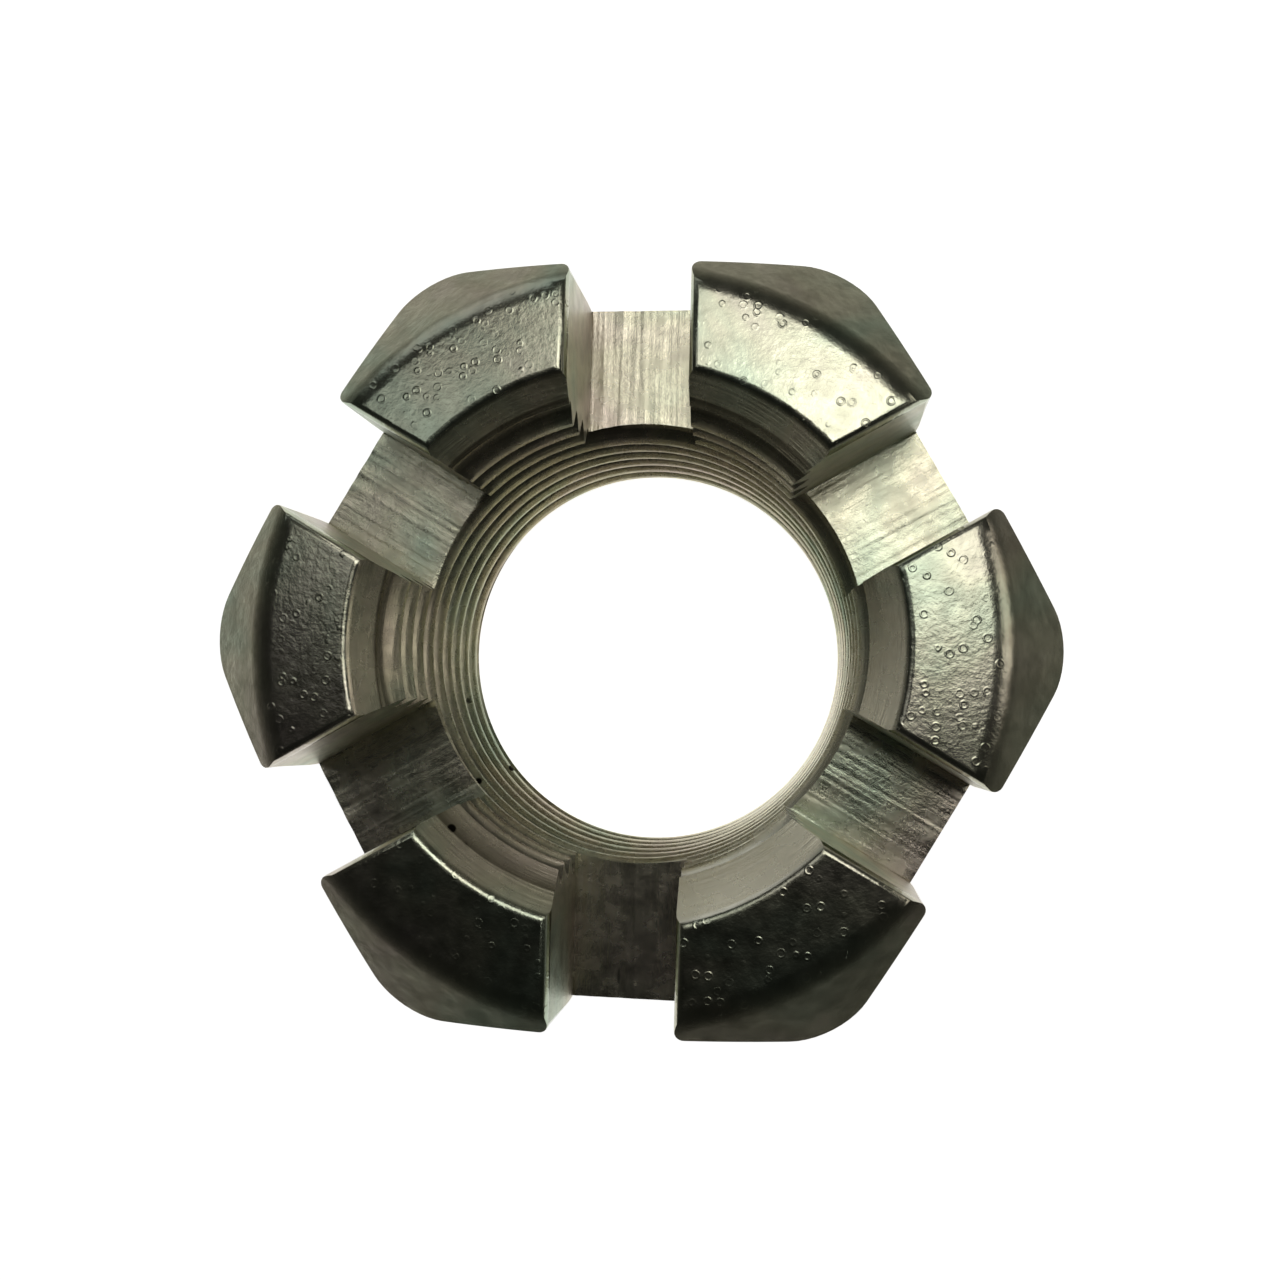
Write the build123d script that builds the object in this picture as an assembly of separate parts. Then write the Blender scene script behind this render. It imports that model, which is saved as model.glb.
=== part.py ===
"""A slotted hexagon nut (castle nut) of cold-forged, zinc-plated steel.

Millimetres, +Z up. The nut stands on its bearing face; the origin is the
centre of that face and the slotted end points up. The six corners of the
hexagon lie on +X, -X and every 60 degrees; the six slots cross the middles
of the flats, so one pair of them runs along Y. The bore is plain at the
minor diameter of its thread.
"""
import os
from math import tan, radians

from build123d import *

# Hexagon
ACROSS_FLATS = 30.0
HEIGHT = 16.0
CORNER_ROUNDING = 3.6          # forged corners, 33.5 across them

# End chamfers, both cones at 30 degrees to the end faces. Each one leaves a round
# end face that stops a little short of the flats.
CHAMFER_ANGLE = 30.0
TOP_FACE_MARGIN = 0.6
BEARING_FACE_MARGIN = 0.9

# Bore: minor diameter of the M20 x 1.5 thread
BORE_DIAMETER = 18.376
TOP_COUNTERSINK_DIAMETER = 21.8
BOTTOM_COUNTERSINK_DIAMETER = 20.8

# Slots for the split pin, six half-slots making three crossing ways
SLOT_COUNT = 6
SLOT_WIDTH = 4.8
SLOT_DEPTH = 6.0
CASTELLATION_ROUNDING = 0.4    # edges round the top of each castellation

slot_floor = HEIGHT - SLOT_DEPTH
bore_radius = BORE_DIAMETER / 2
top_face_radius = ACROSS_FLATS / 2 - TOP_FACE_MARGIN
bearing_face_radius = ACROSS_FLATS / 2 - BEARING_FACE_MARGIN

# The forged blank: a hexagonal bar with rounded upright corners
hexagon = RegularPolygon(ACROSS_FLATS / 2, 6, major_radius=False)
blank = extrude(hexagon, HEIGHT)
blank = fillet(blank.edges().filter_by(Axis.Z), CORNER_ROUNDING)


def chamfer_cone(face_radius, face_height, outward):
    """Solid of revolution that keeps only what lies inside the end chamfer."""
    reach = ACROSS_FLATS
    far = face_height - outward * reach
    slope = reach * tan(radians(CHAMFER_ANGLE))
    profile = Polyline(
        (0, face_height),
        (face_radius, face_height),
        (face_radius + reach, face_height - outward * slope),
        (face_radius + reach, far),
        (0, far),
        close=True,
    )
    return revolve(Plane.XZ * make_face(profile), Axis.Z)


blank = blank & chamfer_cone(top_face_radius, HEIGHT, 1)
blank = blank & chamfer_cone(bearing_face_radius, 0, -1)

# Bore with a 90 degree countersink at each mouth
top_sink = TOP_COUNTERSINK_DIAMETER / 2 - bore_radius
bottom_sink = BOTTOM_COUNTERSINK_DIAMETER / 2 - bore_radius
bore_profile = Polyline(
    (0, 0),
    (BOTTOM_COUNTERSINK_DIAMETER / 2, 0),
    (bore_radius, bottom_sink),
    (bore_radius, HEIGHT - top_sink),
    (TOP_COUNTERSINK_DIAMETER / 2, HEIGHT),
    (0, HEIGHT),
    close=True,
)
nut = blank - revolve(Plane.XZ * make_face(bore_profile), Axis.Z)

# Slots milled through the middle of the flats
slot = Pos(0, 0, slot_floor + HEIGHT / 2) * Box(SLOT_WIDTH, 2 * ACROSS_FLATS, HEIGHT)
for turn in range(SLOT_COUNT // 2):
    nut = nut - Rot(0, 0, turn * 360 / SLOT_COUNT) * slot

# Soft edges round the top face of each castellation
top_edges = nut.edges().filter_by_position(Axis.Z, HEIGHT, HEIGHT)
nut = fillet(top_edges, CASTELLATION_ROUNDING)

nut.label = "castle_nut"
os.makedirs("parts", exist_ok=True)
export_step(nut, "parts/castle_nut.step")
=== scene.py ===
"""A zinc-plated steel castle nut standing on its bearing face, slots upward.

Metres, +Z up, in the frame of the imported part: corners of the hexagon on
+X, -X and every 60 degrees, slots across the middles of the flats.
"""
import math

import bpy
from mathutils import Matrix, Vector, noise


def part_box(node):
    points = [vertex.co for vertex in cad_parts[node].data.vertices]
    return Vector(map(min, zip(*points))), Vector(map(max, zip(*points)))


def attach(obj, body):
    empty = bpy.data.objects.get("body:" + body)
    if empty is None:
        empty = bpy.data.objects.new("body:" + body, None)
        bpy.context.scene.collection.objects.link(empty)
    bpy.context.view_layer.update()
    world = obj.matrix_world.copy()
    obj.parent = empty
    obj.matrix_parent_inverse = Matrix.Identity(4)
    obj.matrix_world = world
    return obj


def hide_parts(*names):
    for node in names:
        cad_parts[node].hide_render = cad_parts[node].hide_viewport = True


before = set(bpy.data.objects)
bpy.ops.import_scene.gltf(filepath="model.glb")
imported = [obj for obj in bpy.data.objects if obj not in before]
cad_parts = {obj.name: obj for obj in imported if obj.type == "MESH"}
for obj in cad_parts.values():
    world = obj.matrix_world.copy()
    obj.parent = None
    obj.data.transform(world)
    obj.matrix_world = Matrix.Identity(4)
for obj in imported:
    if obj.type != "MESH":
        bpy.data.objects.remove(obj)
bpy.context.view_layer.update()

# ---------------------------------------------------------------------------
# Castle nut. One blank of medium-carbon steel, cold-forged to a hexagon with
# rounded corners, turned at both ends, slotted with a disc cutter, drilled
# and tapped right-handed, then barrel-plated with zinc and passivated.
# It is worked at 1 unit to the millimetre, and brought to metres at the end.
# ---------------------------------------------------------------------------
mm = 0.001
nut_low, nut_high = (Vector(corner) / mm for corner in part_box("castle_nut"))
nut_height = nut_high.z - nut_low.z
across_flats = nut_high.y - nut_low.y
corner_rounding = 3.6
top_face_radius = across_flats / 2 - 0.6
bearing_face_radius = across_flats / 2 - 0.9
chamfer_slope = math.tan(math.radians(30))
slot_width = 4.8
slot_depth = 6.0
slot_floor = nut_height - slot_depth
thread_pitch = 1.5
thread_crest_radius = 9.188
thread_root_radius = 10.0
top_sink_radius = 10.9
bottom_sink_radius = 10.4
edge_rounding = 0.4
rim_softness = 0.55
mouth_softness = 0.25
round_steps = 144
hair = 0.01


def start_part(name):
    """Names the primitive just added and empties it, ready for a profile."""
    part = bpy.context.active_object
    part.name = part.data.name = name
    bpy.ops.object.mode_set(mode="EDIT")
    bpy.ops.mesh.select_all(action="SELECT")
    bpy.ops.mesh.delete(type="VERT")
    bpy.ops.object.mode_set(mode="OBJECT")
    return part


def select_edges(part, wanted):
    """Leaves the part in edit mode with the edges selected whose ends satisfy wanted(a, b)."""
    bpy.ops.object.select_all(action="DESELECT")
    bpy.context.view_layer.objects.active = part
    part.select_set(True)
    bpy.ops.object.mode_set(mode="EDIT")
    bpy.ops.mesh.select_mode(type="EDGE")
    bpy.ops.mesh.select_all(action="DESELECT")
    bpy.ops.object.mode_set(mode="OBJECT")
    points = [vertex.co for vertex in part.data.vertices]
    for edge in part.data.edges:
        edge.select = wanted(*(points[index] for index in edge.vertices))
    bpy.ops.object.mode_set(mode="EDIT")


def cut(part, tool, operation="DIFFERENCE"):
    """Takes the tool's solid out of the part, or joins or keeps their overlap, then removes the tool."""
    bpy.ops.object.select_all(action="DESELECT")
    bpy.context.view_layer.objects.active = part
    part.select_set(True)
    boolean = part.modifiers.new("cut", "BOOLEAN")
    boolean.operation = operation
    boolean.solver = "MANIFOLD"
    boolean.object = tool
    bpy.ops.object.modifier_apply(modifier="cut")
    bpy.data.objects.remove(tool)


def lathe(name, profile):
    """A solid turned about Z from (radius, height) points that start and end on the axis."""
    bpy.ops.object.select_all(action="DESELECT")
    bpy.ops.mesh.primitive_plane_add(size=1)
    part = start_part(name)
    points = [(radius, 0, height) for radius, height in profile]
    part.data.from_pydata(points, [(i, i + 1) for i in range(len(points) - 1)], [])
    bpy.ops.object.mode_set(mode="EDIT")
    bpy.ops.mesh.select_all(action="SELECT")
    bpy.ops.mesh.spin(steps=round_steps, angle=2 * math.pi, center=(0, 0, 0), axis=(0, 0, 1))
    bpy.ops.mesh.select_all(action="SELECT")
    bpy.ops.mesh.remove_doubles(threshold=0.0005)
    bpy.ops.mesh.normals_make_consistent(inside=False)
    bpy.ops.object.mode_set(mode="OBJECT")
    return part


def soft_corner(before, corner, after, setback, steps=5):
    """Points of a curve that rounds a profile's corner, starting and ending setback away from it."""
    before, corner, after = Vector(before), Vector(corner), Vector(after)
    start = corner + (before - corner).normalized() * setback
    end = corner + (after - corner).normalized() * setback
    shares = [step / steps for step in range(steps + 1)]
    return [tuple(start * (1 - t) ** 2 + corner * 2 * t * (1 - t) + end * t**2) for t in shares]


# The forged hexagon, its upright corners rounded. A bevel takes a little more off
# a blunt corner than a true fillet of the same setback, so the setback is drawn in
# until both reach equally far
bevel_share = 0.914
corner_setback = corner_rounding * math.tan(math.radians(30)) * bevel_share
bpy.ops.object.select_all(action="DESELECT")
bpy.ops.mesh.primitive_cylinder_add(
    vertices=6,
    radius=across_flats / 2 / math.cos(math.radians(30)),
    depth=nut_height,
    location=(0, 0, nut_height / 2),
    rotation=(0, 0, math.radians(30)),
)
bpy.ops.object.transform_apply(location=True, rotation=True, scale=True)
nut = bpy.context.active_object
nut.name = nut.data.name = "castle_nut_forged"
select_edges(nut, lambda a, b: abs(a.z - b.z) > nut_height / 2)
bpy.ops.mesh.bevel(offset=corner_setback, segments=10, profile=0.5)
bpy.ops.object.mode_set(mode="OBJECT")

# Both ends turned to a 30 degree chamfer, with the rims left soft
reach = 6
top_middle, bottom_middle = (0, nut_height), (0, 0)
top_rim, bottom_rim = (top_face_radius, nut_height), (bearing_face_radius, 0)
top_slope_end = (top_face_radius + reach, nut_height - reach * chamfer_slope)
bottom_slope_end = (bearing_face_radius + reach, reach * chamfer_slope)
cut(nut, lathe("end_chamfers", [
    top_middle,
    *soft_corner(top_middle, top_rim, top_slope_end, rim_softness),
    top_slope_end,
    bottom_slope_end,
    *soft_corner(bottom_slope_end, bottom_rim, bottom_middle, rim_softness),
    bottom_middle,
]), "INTERSECT")

# Drilled through and countersunk at both mouths, again with soft rims
past = 1
left_for_tap = 0.5
drill_radius = thread_crest_radius - left_for_tap
top_mouth, bottom_mouth = (top_sink_radius, nut_height), (bottom_sink_radius, 0)
top_sink_foot = (drill_radius, nut_height - (top_sink_radius - drill_radius))
bottom_sink_foot = (drill_radius, bottom_sink_radius - drill_radius)
cut(nut, lathe("drill", [
    (0, nut_height + past),
    (top_sink_radius + past, nut_height + past),
    *soft_corner((top_sink_radius + past, nut_height), top_mouth, top_sink_foot, mouth_softness),
    top_sink_foot,
    bottom_sink_foot,
    *soft_corner(bottom_sink_foot, bottom_mouth, (bottom_sink_radius + past, 0), mouth_softness),
    (bottom_sink_radius + past, -past),
    (0, -past),
]))

# Three passes of the slot cutter, each across two facing flats. The cutter is
# given shoulders that just clear the crown and the flats, and the inside corners
# under them are rounded, so that it leaves soft edges round each slot.
shoulder = across_flats
clearance = 0.004
over_crown = nut_height + clearance
past_flat = across_flats / 2 + clearance
shoulder_foot = slot_floor + 1
cutter_blocks = (
    ((-slot_width / 2, -across_flats, slot_floor), (slot_width / 2, across_flats, nut_height + past)),
    ((-shoulder, -across_flats, over_crown), (shoulder, across_flats, nut_height + shoulder)),
    ((-shoulder, past_flat, shoulder_foot), (shoulder, across_flats, nut_height + past)),
    ((-shoulder, -across_flats, shoulder_foot), (shoulder, -past_flat, nut_height + past)),
)


def is_inside_corner(a, b):
    """Whether the edge from a to b lies where the cutter's blade meets a shoulder, or two shoulders meet."""
    on_wall = all(abs(abs(point.x) - slot_width / 2) < hair for point in (a, b))
    under_crown = all(abs(point.z - over_crown) < hair for point in (a, b))
    at_flat = all(abs(abs(point.y) - past_flat) < hair for point in (a, b))
    return (on_wall and (under_crown or at_flat)) or (under_crown and at_flat)


# What the cutter's underside prints into each floor: lines, chatter, and along the
# floor's outer edge a burr where it lifts. Depths in mm, the rest per mm
line_depth, lines_across, lines_along = 0.008, 5, 0.12
chatter_depth, chatter_pitch = 0.014, 1.5
burr_height, burr_width, burr_notches = 0.05, 0.45, 1.4
floor_cuts = 99

for turn in range(3):
    cutter = None
    for low, high in cutter_blocks:
        bpy.ops.object.select_all(action="DESELECT")
        bpy.ops.mesh.primitive_cube_add(size=1)
        block = bpy.context.active_object
        low, high = Vector(low), Vector(high)
        size = Matrix.Diagonal((*(high - low), 1))
        block.data.transform(Matrix.Translation((low + high) / 2) @ size)
        if cutter:
            cut(cutter, block, "UNION")
        else:
            cutter = block
    select_edges(cutter, is_inside_corner)
    bpy.ops.mesh.bevel(offset=edge_rounding, segments=5, profile=0.5, clamp_overlap=False)
    bpy.ops.mesh.select_mode(type="FACE")
    bpy.ops.mesh.select_all(action="DESELECT")
    bpy.ops.object.mode_set(mode="OBJECT")
    for face in cutter.data.polygons:
        face.select = face.normal.z < -0.99 and abs(face.center.z - slot_floor) < hair
    bpy.ops.object.mode_set(mode="EDIT")
    bpy.ops.mesh.subdivide(number_cuts=floor_cuts)
    bpy.ops.object.mode_set(mode="OBJECT")
    seed = 7 * turn
    for vertex in cutter.data.vertices:
        point = vertex.co
        if abs(point.z - slot_floor) < hair and abs(point.x) < slot_width / 2 - hair:
            line = noise.noise((point.x * lines_across, point.y * lines_along, seed))
            chatter = noise.noise((point.x * chatter_pitch, point.y * chatter_pitch, seed + 3))
            at_edge = abs(abs(point.y) - across_flats / 2) < burr_width
            burr = 0.6 + noise.noise((point.x * burr_notches, point.y, turn)) if at_edge else 0
            point.z += line_depth * line + chatter_depth * chatter + burr_height * burr
    cutter.data.transform(Matrix.Rotation(math.radians(60 * turn), 4, "Z"))
    cut(nut, cutter)


def from_slot_middle(point):
    """How far a point lies sideways from the middle of the slot nearest to it, and how far along it."""
    turned = math.radians(math.degrees(math.atan2(point.y, point.x)) % 60 - 30)
    return point.xy.length * math.sin(turned), point.xy.length * math.cos(turned)


# The tap: a right-hand helix, its crests and roots worn round
turns = math.ceil(nut_height / thread_pitch) + 3
tap_foot = -2 * thread_pitch
points_per_tooth = 10
thread_depth = thread_root_radius - thread_crest_radius
tooth = []
for step in range(points_per_tooth):
    share = step / points_per_tooth
    depth = thread_depth * (1 - math.cos(2 * math.pi * share)) / 2
    tooth.append((thread_crest_radius + depth, share * thread_pitch))
bpy.ops.object.select_all(action="DESELECT")
bpy.ops.mesh.primitive_plane_add(size=1)
tap = start_part("tap")
tap_profile = [
    (radius, 0, tap_foot + turn * thread_pitch + height) for turn in range(turns) for radius, height in tooth
]
tap.data.from_pydata(tap_profile, [(i, i + 1) for i in range(len(tap_profile) - 1)], [])
screw = tap.modifiers.new("helix", "SCREW")
screw.axis = "Z"
screw.angle = 2 * math.pi
screw.screw_offset = thread_pitch
screw.steps = screw.render_steps = round_steps
bpy.ops.object.modifier_apply(modifier="helix")
bpy.ops.object.mode_set(mode="EDIT")
bpy.ops.mesh.select_all(action="SELECT")
bpy.ops.mesh.remove_doubles(threshold=0.001)
for upper in (False, True):
    bpy.ops.mesh.select_mode(type="EDGE")
    bpy.ops.mesh.select_all(action="DESELECT")
    bpy.ops.mesh.select_non_manifold(use_wire=False, use_multi_face=False, use_non_contiguous=False,
                                     use_verts=False, use_boundary=True)
    bpy.ops.object.mode_set(mode="OBJECT")
    for edge in tap.data.edges:
        heights = [tap.data.vertices[i].co.z for i in edge.vertices]
        edge.select = edge.select and (min(heights) > nut_height / 2) == upper
    bpy.ops.object.mode_set(mode="EDIT")
    bpy.ops.mesh.extrude_edges_move()
    bpy.ops.mesh.merge(type="CENTER")
bpy.ops.mesh.select_all(action="SELECT")
bpy.ops.mesh.normals_make_consistent(inside=False)
bpy.ops.object.mode_set(mode="OBJECT")
cut(nut, tap)

# To metres, with the object at the origin
nut.data.transform(Matrix.Scale(mm, 4))
bpy.ops.object.shade_smooth_by_angle(angle=math.radians(35))
evened = nut.modifiers.new("evened_shading", "WEIGHTED_NORMAL")
evened.keep_sharp = True
bpy.ops.object.modifier_apply(modifier="evened_shading")

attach(nut, "root")
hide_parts("castle_nut")

# Its finishes: one plated skin, over a different tool's work on each surface
nut.data.materials.clear()


def linear(hex_colour):
    """An sRGB hex colour as linear RGBA."""
    channels = [int(hex_colour[i : i + 2], 16) / 255 for i in (1, 3, 5)]
    return [c / 12.92 if c <= 0.04045 else ((c + 0.055) / 1.055) ** 2.4 for c in channels] + [1]


def add(tree, kind, inputs=None, **settings):
    """Adds a node. Each input is a value, or an output of another node to link from."""
    made = tree.nodes.new(kind)
    for name, value in settings.items():
        setattr(made, name, value)
    for name, value in (inputs or {}).items():
        if isinstance(value, bpy.types.NodeSocket):
            tree.links.new(value, made.inputs[name])
        else:
            made.inputs[name].default_value = value
    return made


def set_stops(ramp, stops):
    """Gives a colour ramp its (place, colour) stops."""
    while len(ramp.color_ramp.elements) < len(stops):
        ramp.color_ramp.elements.new(0.5)
    for element, (place, colour) in zip(ramp.color_ramp.elements, stops):
        element.position = place
        element.color = linear(colour)


def plated(name, tint, smooth, rough):
    """Adds a material to the nut: zinc plate under a clear passivation, dulled in spots.

    The film is straw, with faint green and pink clouds. Returns the material's node
    tree, its Principled shader and its Object coordinates.
    """
    material = bpy.data.materials.new(name)
    material.use_nodes = True
    tree = material.node_tree
    tree.nodes.clear()
    place = add(tree, "ShaderNodeTexCoord").outputs["Object"]
    clouds = add(tree, "ShaderNodeTexNoise", {"Vector": place, "Scale": 1 / (7 * mm), "Detail": 3.0,
                                              "Roughness": 0.55, "Distortion": 0.6})
    film = add(tree, "ShaderNodeValToRGB", {"Fac": clouds.outputs["Fac"]})
    set_stops(film, [(0.30, "#b6c9b8"), (0.50, "#d4d3c0"), (0.70, "#d8cec6")])
    body = add(tree, "ShaderNodeMix", {"Factor": 0.4, "A": film.outputs["Color"], "B": linear(tint)},
               data_type="RGBA", blend_type="MULTIPLY")
    spots = add(tree, "ShaderNodeTexNoise", {"Vector": place, "Scale": 1 / (0.6 * mm), "Detail": 3.0})
    dulling = add(tree, "ShaderNodeMapRange", {"Value": spots.outputs["Fac"], "From Min": 0.35,
                                               "From Max": 0.6, "To Min": 0.16, "To Max": 0.0})
    dulled = add(tree, "ShaderNodeMix", {"Factor": dulling.outputs["Result"], "A": body.outputs["Result"],
                                         "B": linear("#4a4a42")}, data_type="RGBA")
    haze = add(tree, "ShaderNodeTexNoise", {"Vector": place, "Scale": 1 / (0.8 * mm), "Detail": 4.0})
    roughness = add(tree, "ShaderNodeMapRange", {"Value": haze.outputs["Fac"], "From Min": 0.3,
                                                 "From Max": 0.7, "To Min": smooth, "To Max": rough})
    shader = add(tree, "ShaderNodeBsdfPrincipled", {"Base Color": dulled.outputs["Result"], "Metallic": 1.0,
                                                    "Roughness": roughness.outputs["Result"]})
    add(tree, "ShaderNodeOutputMaterial", {"Surface": shader.outputs["BSDF"]})
    nut.data.materials.append(material)
    return tree, shader, place


# Crown faces, pressed in the die and left unmachined: a fine orange-peel, with
# small round pits whose rims sparkle as rings where light catches them
tree, shader, place = plated("zinc_on_pressed_face", "#b3b7a8", 0.17, 0.25)
pits = add(tree, "ShaderNodeTexVoronoi", {"Vector": place, "Scale": 1 / (0.46 * mm), "Randomness": 1.0},
           feature="F1")
off_rim = add(tree, "ShaderNodeMath", {0: pits.outputs["Distance"], 1: 0.32}, operation="SUBTRACT")
off_rim = add(tree, "ShaderNodeMath", {0: off_rim.outputs["Value"]}, operation="ABSOLUTE")
rim = add(tree, "ShaderNodeMapRange", {"Value": off_rim.outputs["Value"], "From Min": 0.0, "From Max": 0.12,
                                       "To Min": 1.0, "To Max": 0.0}, interpolation_type="SMOOTHSTEP")
chance = add(tree, "ShaderNodeSeparateColor", {"Color": pits.outputs["Color"]})
some = add(tree, "ShaderNodeMapRange", {"Value": chance.outputs["Red"], "From Min": 0.5, "From Max": 1.0})
raised = add(tree, "ShaderNodeMath", {0: rim.outputs["Result"], 1: some.outputs["Result"]},
             operation="MULTIPLY")
peel = add(tree, "ShaderNodeTexNoise", {"Vector": place, "Scale": 1 / (0.24 * mm), "Detail": 3.0,
                                        "Roughness": 0.6})
pitted = add(tree, "ShaderNodeBump", {"Height": raised.outputs["Value"], "Strength": 0.7,
                                      "Distance": 0.012 * mm})
uneven = add(tree, "ShaderNodeBump", {"Height": peel.outputs["Fac"], "Strength": 0.8, "Distance": 0.012 * mm,
                                      "Normal": pitted.outputs["Normal"]})
tree.links.new(uneven.outputs["Normal"], shader.inputs["Normal"])


def milled(name, tint, smooth, rough, line_depth, torn_depth):
    """Cutter lines along each slot, with torn metal between them, under the plating."""
    tree, shader, place = plated(name, tint, smooth, rough)
    lay = add(tree, "ShaderNodeUVMap", uv_map="tool_lay").outputs["UV"]
    stretched = add(tree, "ShaderNodeMapping", {"Vector": lay, "Scale": (1.0, 0.05, 1.0)})
    lines = add(tree, "ShaderNodeTexNoise", {"Vector": stretched.outputs["Vector"], "Scale": 1 / (0.25 * mm),
                                             "Detail": 4.0, "Roughness": 0.75})
    torn = add(tree, "ShaderNodeTexNoise", {"Vector": place, "Scale": 1 / (0.22 * mm), "Detail": 4.0,
                                            "Roughness": 0.65})
    scored = add(tree, "ShaderNodeBump", {"Height": lines.outputs["Fac"], "Strength": 1.0,
                                          "Distance": line_depth * mm})
    ragged = add(tree, "ShaderNodeBump", {"Height": torn.outputs["Fac"], "Strength": 1.0,
                                          "Distance": torn_depth * mm, "Normal": scored.outputs["Normal"]})
    tree.links.new(ragged.outputs["Normal"], shader.inputs["Normal"])


# Slot floors and walls, milled. The walls, rubbed by the cutter's sides, are duller
milled("zinc_on_milled_floor", "#faf3e2", 0.21, 0.31, 0.010, 0.012)
milled("zinc_on_milled_wall", "#dedac8", 0.36, 0.50, 0.02, 0.02)

# Bore, tapped: fine drag lines that follow the helix; painted shade, darker and
# warmer, in the roots, fading out towards +X -Y; a few specks of grime caught on one side;
# and towards +X -Y a painted reflection of the white table, lightening the thread. Places along the radius are
# in mm
root_shade_from, root_shade_full = 9.35, 9.95
sink_starts = thread_root_radius + 0.05
tree, shader, place = plated("zinc_on_tapped_thread", "#c8bb9c", 0.20, 0.32)
lay = add(tree, "ShaderNodeUVMap", uv_map="tool_lay").outputs["UV"]
stretched = add(tree, "ShaderNodeMapping", {"Vector": lay, "Scale": (0.03, 1.0, 1.0)})
drag = add(tree, "ShaderNodeTexNoise", {"Vector": stretched.outputs["Vector"], "Scale": 1 / (0.12 * mm),
                                        "Detail": 4.0, "Roughness": 0.65})
dragged = add(tree, "ShaderNodeBump", {"Height": drag.outputs["Fac"], "Strength": 0.5, "Distance": 0.03 * mm})
tree.links.new(dragged.outputs["Normal"], shader.inputs["Normal"])
across = add(tree, "ShaderNodeVectorMath", {0: place, 1: (1.0, 1.0, 0.0)}, operation="MULTIPLY")
from_axis = add(tree, "ShaderNodeVectorMath", {0: across.outputs["Vector"]}, operation="LENGTH")
# Painted shade in the thread roots: between these radii the colour is darkened towards #4d4636, much less
# towards +X -Y
root_shade_ramp = add(tree, "ShaderNodeMapRange", {"Value": from_axis.outputs["Value"], "From Min": root_shade_from * mm,
                                           "From Max": root_shade_full * mm, "To Min": 0.0, "To Max": 0.75})
in_thread = add(tree, "ShaderNodeMapRange", {"Value": from_axis.outputs["Value"], "To Min": 1.0, "To Max": 0.0,
                                             "From Min": thread_root_radius * mm,
                                             "From Max": sink_starts * mm})
towards_sheen_side = add(tree, "ShaderNodeVectorMath", {0: place, 1: (0.8, -0.6, 0.0)}, operation="DOT_PRODUCT")
root_shade_kept = add(tree, "ShaderNodeMapRange", {"Value": towards_sheen_side.outputs["Value"], "From Min": 4 * mm,
                                              "From Max": 8 * mm, "To Min": 1.0, "To Max": 0.1})
root_shade_amount = add(tree, "ShaderNodeMath", {0: root_shade_ramp.outputs["Result"], 1: in_thread.outputs["Result"]},
                operation="MULTIPLY")
root_shade_amount = add(tree, "ShaderNodeMath", {0: root_shade_amount.outputs["Value"], 1: root_shade_kept.outputs["Result"]},
                operation="MULTIPLY")
grit = add(tree, "ShaderNodeTexVoronoi", {"Vector": place, "Scale": 1 / (1.5 * mm), "Randomness": 1.0})
specks = add(tree, "ShaderNodeMapRange", {"Value": grit.outputs["Distance"], "From Min": 0.10,
                                          "From Max": 0.14, "To Min": 1.0, "To Max": 0.0})
dirty_side = add(tree, "ShaderNodeVectorMath", {0: place, 1: (-0.82, -0.57, 0.0)}, operation="DOT_PRODUCT")
dirty_side = add(tree, "ShaderNodeMapRange", {"Value": dirty_side.outputs["Value"], "From Min": 8.2 * mm,
                                              "From Max": 9.0 * mm})
grime = add(tree, "ShaderNodeMath", {0: specks.outputs["Result"], 1: dirty_side.outputs["Result"]},
            operation="MULTIPLY")
grime = add(tree, "ShaderNodeMath", {0: grime.outputs["Value"], 1: in_thread.outputs["Result"]},
            operation="MULTIPLY")
film_colour = shader.inputs["Base Color"].links[0].from_socket
with_root_shade = add(tree, "ShaderNodeMix", {"Factor": root_shade_amount.outputs["Value"], "A": film_colour,
                                     "B": linear("#4d4636")}, data_type="RGBA")
soiled = add(tree, "ShaderNodeMix", {"Factor": grime.outputs["Value"], "A": with_root_shade.outputs["Result"],
                                     "B": linear("#17140f")}, data_type="RGBA")
# Painted reflection: towards +X -Y the thread is lightened to pale cream, standing in for the white table it
# reflects
table_sheen_amount = add(tree, "ShaderNodeMapRange", {"Value": towards_sheen_side.outputs["Value"], "From Min": 6 * mm,
                                           "From Max": 9 * mm, "To Min": 0.0, "To Max": 0.85})
with_table_sheen = add(tree, "ShaderNodeMix", {"Factor": table_sheen_amount.outputs["Result"], "A": soiled.outputs["Result"],
                                     "B": linear("#efebd8")}, data_type="RGBA")
tree.links.new(with_table_sheen.outputs["Result"], shader.inputs["Base Color"])

# Flats, corners and chamfers: smooth forged skin, a little uneven, with thin
# patches in the zinc that have stained a faint brown
tree, shader, place = plated("zinc_on_forged_skin", "#b6b49f", 0.17, 0.26)
peel = add(tree, "ShaderNodeTexNoise", {"Vector": place, "Scale": 1 / (0.9 * mm), "Detail": 5.0})
uneven = add(tree, "ShaderNodeBump", {"Height": peel.outputs["Fac"], "Strength": 0.5, "Distance": 0.045 * mm})
tree.links.new(uneven.outputs["Normal"], shader.inputs["Normal"])
thin = add(tree, "ShaderNodeTexNoise", {"Vector": place, "Scale": 1 / (3.2 * mm), "Detail": 6.0,
                                        "Roughness": 0.7})
stain = add(tree, "ShaderNodeMapRange", {"Value": thin.outputs["Fac"], "From Min": 0.50, "From Max": 0.66,
                                         "To Min": 0.0, "To Max": 0.28})
stained = add(tree, "ShaderNodeMix", {"Factor": stain.outputs["Result"],
                                      "A": shader.inputs["Base Color"].links[0].from_socket,
                                      "B": linear("#6f5d43")}, data_type="RGBA")
tree.links.new(stained.outputs["Result"], shader.inputs["Base Color"])

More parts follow.
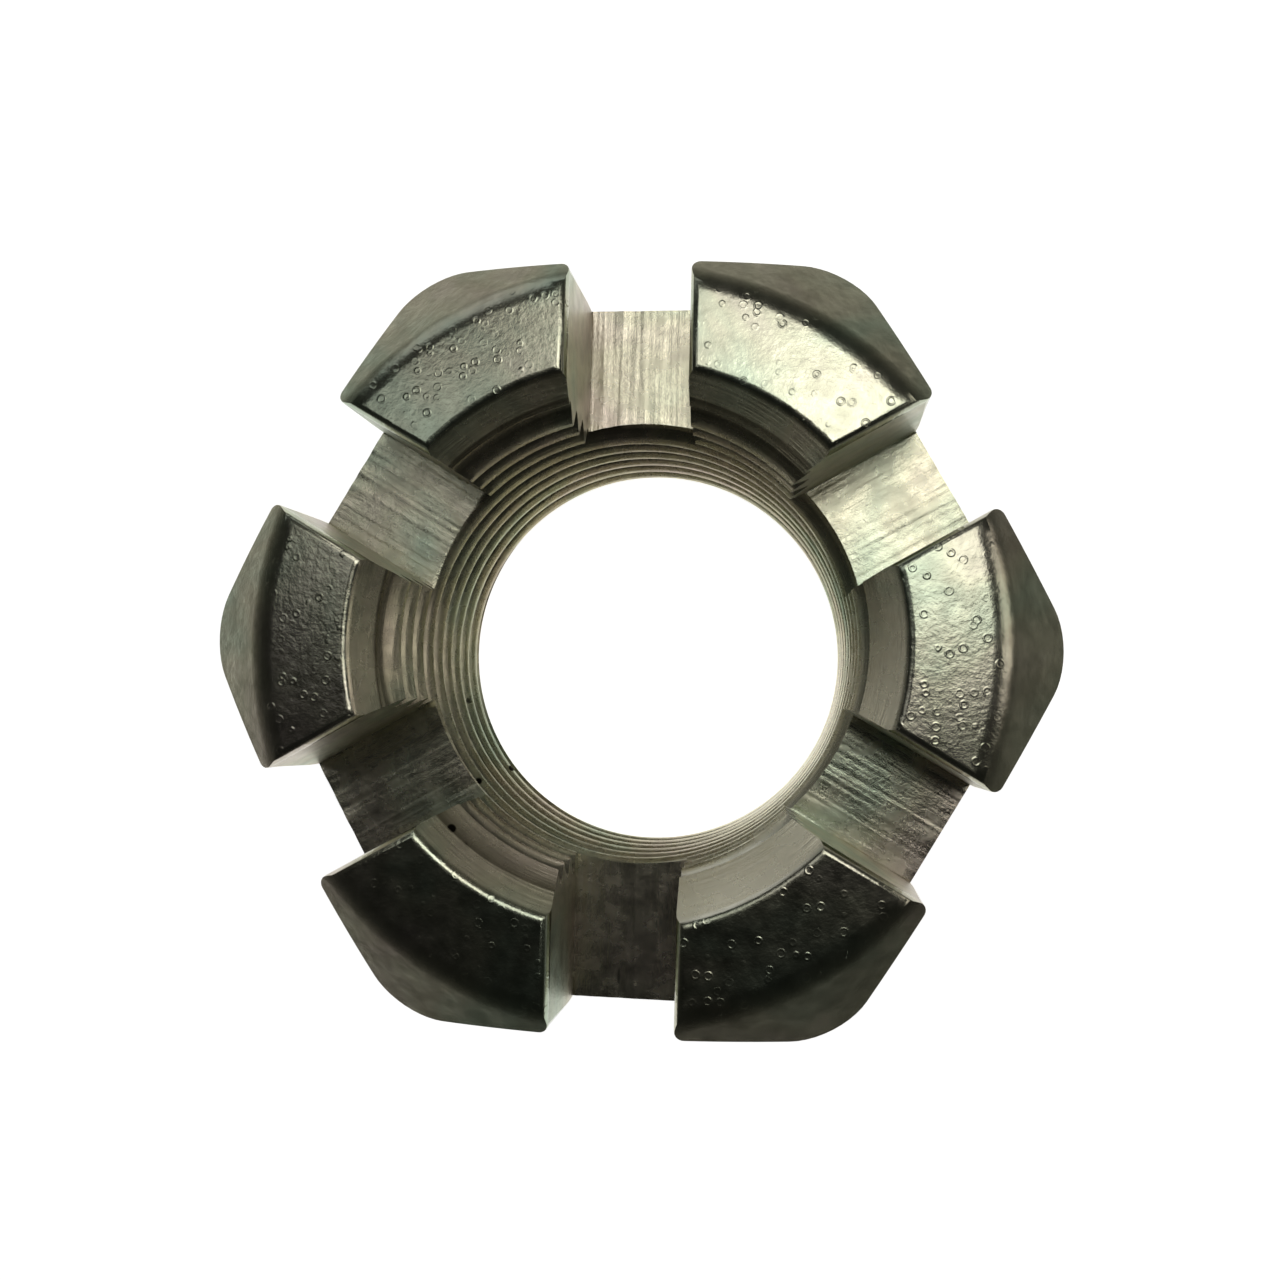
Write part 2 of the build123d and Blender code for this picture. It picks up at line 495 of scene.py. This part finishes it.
# Each face takes the finish of the tool that made it, and the lay of that tool's
# marks as UVs in metres: round the helix in the bore, along the slot elsewhere
PRESSED, MILLED_FLOOR, MILLED_WALL, TAPPED, FORGED = range(5)
top_sink_depth = top_sink_radius - thread_crest_radius
bottom_sink_depth = bottom_sink_radius - thread_crest_radius
tool_lay = nut.data.uv_layers.new(name="tool_lay")
for face in nut.data.polygons:
    centre = face.center / mm
    sideways = abs(from_slot_middle(centre)[0])
    radius = centre.xy.length
    in_slot = sideways < slot_width / 2 + hair and centre.z > slot_floor - hair
    on_slot_wall = in_slot and sideways > slot_width / 2 - hair
    in_thread = radius < thread_root_radius + hair
    in_top_sink = radius < top_sink_radius and centre.z > nut_height - top_sink_depth
    in_bottom_sink = radius < bottom_sink_radius and centre.z < bottom_sink_depth
    lies_flat = abs(face.normal.z) > 0.9
    if (in_thread or in_top_sink or in_bottom_sink) and not (lies_flat or on_slot_wall):
        face.material_index = TAPPED
    elif in_slot and centre.z < nut_height - edge_rounding:
        face.material_index = MILLED_FLOOR if face.normal.z > 0.9 else MILLED_WALL
    elif centre.z > nut_height - edge_rounding and radius < top_face_radius + hair:
        face.material_index = PRESSED if radius > top_sink_radius else TAPPED
    else:
        face.material_index = FORGED
    middle_turn = math.atan2(centre.y, centre.x)
    for loop in face.loop_indices:
        point = nut.data.vertices[nut.data.loops[loop].vertex_index].co
        if face.material_index == TAPPED:
            turn = math.remainder(math.atan2(point.y, point.x) - middle_turn, 2 * math.pi) + middle_turn
            rise = point.z - thread_pitch * mm * turn / (2 * math.pi)
            tool_lay.data[loop].uv = (turn * thread_crest_radius * mm, rise)
        elif face.normal.z > 0.5:
            tool_lay.data[loop].uv = from_slot_middle(point)
        else:
            tool_lay.data[loop].uv = (point.z, from_slot_middle(point)[1])

# ---------------------------------------------------------------------------
# Surroundings: a white table, and a room that is pale low down, brighter on
# the side of +Y and dark overhead. Five soft lamps stand on that side, the
# strongest high and a little to the right.
# ---------------------------------------------------------------------------
bpy.ops.object.select_all(action="DESELECT")
bpy.ops.mesh.primitive_circle_add(vertices=96, radius=1.5, fill_type="NGON", location=(0, 0, 0))
table_top = bpy.context.active_object
table_top.name = table_top.data.name = "table_top"
white = bpy.data.materials.new("white_table")
white.use_nodes = True
tree = white.node_tree
tree.nodes.clear()
rays = add(tree, "ShaderNodeLightPath")
seen = add(tree, "ShaderNodeMath", {0: rays.outputs["Is Camera Ray"], 1: rays.outputs["Is Glossy Ray"]},
           operation="MAXIMUM")
seen = add(tree, "ShaderNodeMath", {0: seen.outputs["Value"], 1: rays.outputs["Is Transmission Ray"]},
           operation="MAXIMUM")
glow_level = add(tree, "ShaderNodeMath", {0: seen.outputs["Value"], 1: 0.93}, operation="MULTIPLY")
glow = add(tree, "ShaderNodeEmission", {"Color": linear("#ffffff"),
                                        "Strength": glow_level.outputs["Value"]})
matt = add(tree, "ShaderNodeBsdfDiffuse", {"Color": linear("#f4f4f2")})
both = add(tree, "ShaderNodeAddShader", {0: glow.outputs["Emission"], 1: matt.outputs["BSDF"]})
add(tree, "ShaderNodeOutputMaterial", {"Surface": both.outputs["Shader"]})
table_top.data.materials.append(white)

room = bpy.data.worlds.new("studio_room")
room.use_nodes = True
tree = room.node_tree
tree.nodes.clear()
towards = add(tree, "ShaderNodeTexCoord").outputs["Generated"]
height = add(tree, "ShaderNodeSeparateXYZ", {"Vector": towards}).outputs["Z"]
shade = add(tree, "ShaderNodeValToRGB", {"Fac": height})
set_stops(shade, [(0.0, "#a8a6a1"), (0.12, "#97958f"), (0.3, "#5c5c56"), (0.6, "#32332f"), (1.0, "#151615")])
towards_window = add(tree, "ShaderNodeVectorMath", {0: towards, 1: (0.1, 0.99, 0.0)}, operation="DOT_PRODUCT")
side = add(tree, "ShaderNodeMapRange", {"Value": towards_window.outputs["Value"], "From Min": -1.0,
                                        "From Max": 1.0, "To Min": 0.34, "To Max": 1.4})
sky = add(tree, "ShaderNodeBackground", {"Color": shade.outputs["Color"], "Strength": side.outputs["Result"]})
backdrop = add(tree, "ShaderNodeBackground", {"Color": linear("#ffffff"), "Strength": 1.0})
seen = add(tree, "ShaderNodeLightPath").outputs["Is Camera Ray"]
both = add(tree, "ShaderNodeMixShader", {0: seen, 1: sky.outputs["Background"],
                                         2: backdrop.outputs["Background"]})
add(tree, "ShaderNodeOutputWorld", {"Surface": both.outputs["Shader"]})
bpy.context.scene.world = room


def soft_lamp(name, place_mm, width_mm, brightness, colour):
    """A round soft lamp aimed at the nut. Its brightness is what a mirror would show, 1 being white."""
    light = bpy.data.lights.new(name, "AREA")
    light.shape = "DISK"
    light.size = width_mm * mm
    light.color = linear(colour)[:3]
    light.energy = brightness * math.pi * math.pi * (light.size / 2) ** 2
    lamp = bpy.data.objects.new(name, light)
    bpy.context.collection.objects.link(lamp)
    lamp.location = Vector(place_mm) * mm
    aim = Vector((0, 0, nut_height * mm)) - lamp.location
    lamp.rotation_euler = aim.to_track_quat("-Z", "Y").to_euler()


soft_lamp("key_lamp", (52, 64, 316), 106, 2.5, "#fffdf6")
soft_lamp("back_lamp", (-10, 114, 316), 110, 1.6, "#fffdf8")
soft_lamp("veil_lamp", (-102, 66, 316), 84, 0.8, "#fbfcfa")
soft_lamp("right_lamp", (240, 40, 240), 130, 1.0, "#fff8ee")
soft_lamp("left_lamp", (-140, 240, 170), 160, 0.5, "#f8fbff")

# ---------------------------------------------------------------------------
# Camera: close above the crown, a little to the right of the axis, looking
# down the bore.
# ---------------------------------------------------------------------------
lens = bpy.data.cameras.new("camera")
lens.lens = 31.19
lens.sensor_width = 36
lens.clip_start = 1 * mm
lens.clip_end = 10
camera = bpy.data.objects.new("camera", lens)
bpy.context.collection.objects.link(camera)
camera.location = Vector((5.515, -2.117, 58.015)) * mm
camera.rotation_euler = [math.radians(angle) for angle in (3.143, 6.333, 1.448)]
bpy.context.scene.camera = camera
bpy.context.scene.view_settings.view_transform = "Standard"
